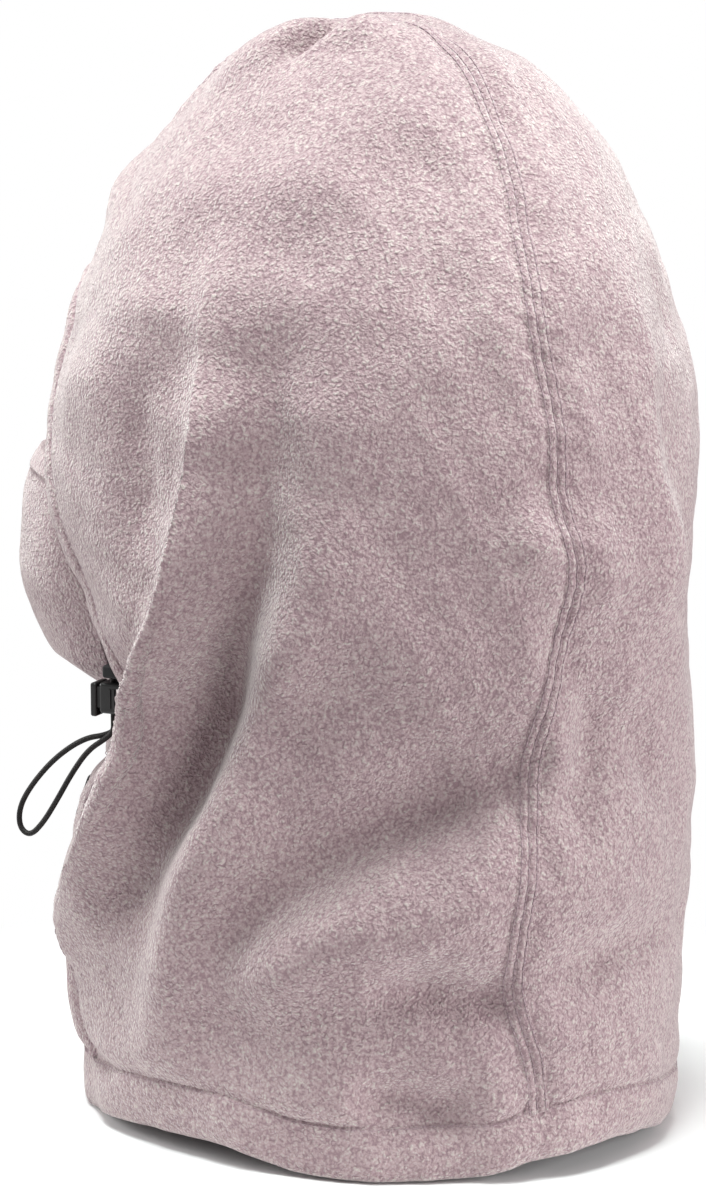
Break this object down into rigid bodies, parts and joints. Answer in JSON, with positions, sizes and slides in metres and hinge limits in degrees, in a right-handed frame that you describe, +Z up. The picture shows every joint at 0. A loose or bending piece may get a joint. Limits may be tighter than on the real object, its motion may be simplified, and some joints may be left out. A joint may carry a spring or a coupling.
{
  "type": "balaclava",
  "caption": "Fleece ski balaclava: panelled hood with a folded hem, drawcord tunnel round the face, pull-down face mask and a sprung cord lock.",
  "frame": {"origin": "middle of the bounding box at the height of the hem's lower edge, cord loop and lock left out", "axes": "+Z up to the crown, the face looks along -Y, +X is the wearer's left"},
  "size_m": [0.1966, 0.2502, 0.39],
  "materials": {
    "fleece": "dusty mauve anti-pill fleece with a pebbled pile",
    "thread": "polyester coverstitch thread, a shade darker than the fleece",
    "woven_label": "plain black woven label without lettering",
    "shock_cord": "black braided elastic cord",
    "tab": "black bonded webbing tab",
    "lock_plastic": "black moulded acetal, fine satin grain",
    "spring_steel": "drawn spring wire"
  },
  "bodies": {
    "root": {"left_side_panel": "fleece", "right_side_panel": "fleece", "crown_gusset": "fleece", "front_panel": "fleece", "hem_band": "fleece", "face_tunnel_left": "fleece", "face_tunnel_right": "fleece", "mask_hinge_strip": "fleece", "hem_stitching": "thread", "brim_stitching": "thread", "gusset_seam_left": "thread", "gusset_seam_right": "thread", "front_seam_left": "thread", "front_seam_right": "thread", "front_label": "woven_label", "tunnel_cord": "shock_cord", "cord_exit_tab": "tab"},
    "mask": {"mask_left": "fleece", "mask_right": "fleece", "mask_binding": "fleece"},
    "pull": {"cord_loop": "shock_cord"},
    "lock": {"lock_housing": "lock_plastic", "lock_spring": "spring_steel"},
    "button": {"lock_button": "lock_plastic"}
  },
  "joints": [
    {"name": "mask_fold", "type": "hinge", "parent": "root", "child": "mask", "pos_m": [0, -0.0915, 0.1489], "axis": [1, 0, 0], "range_deg": [0, 115]},
    {"name": "pull_swing", "type": "hinge", "parent": "root", "child": "pull", "pos_m": [0.06, -0.063, 0.1606], "axis": [1, 0, 0], "range_deg": [-35, 0]},
    {"name": "lock_slide", "type": "slide", "parent": "pull", "child": "lock", "axis": [0, 0, -1], "range_m": [0, 0.003]},
    {"name": "button_press", "type": "slide", "parent": "lock", "child": "button", "axis": [0, 1, 0], "range_m": [0, 0.0012], "stiffness_N_per_m": 1500, "springref_m": -0.0005, "deforming": ["lock_spring"]}
  ]
}
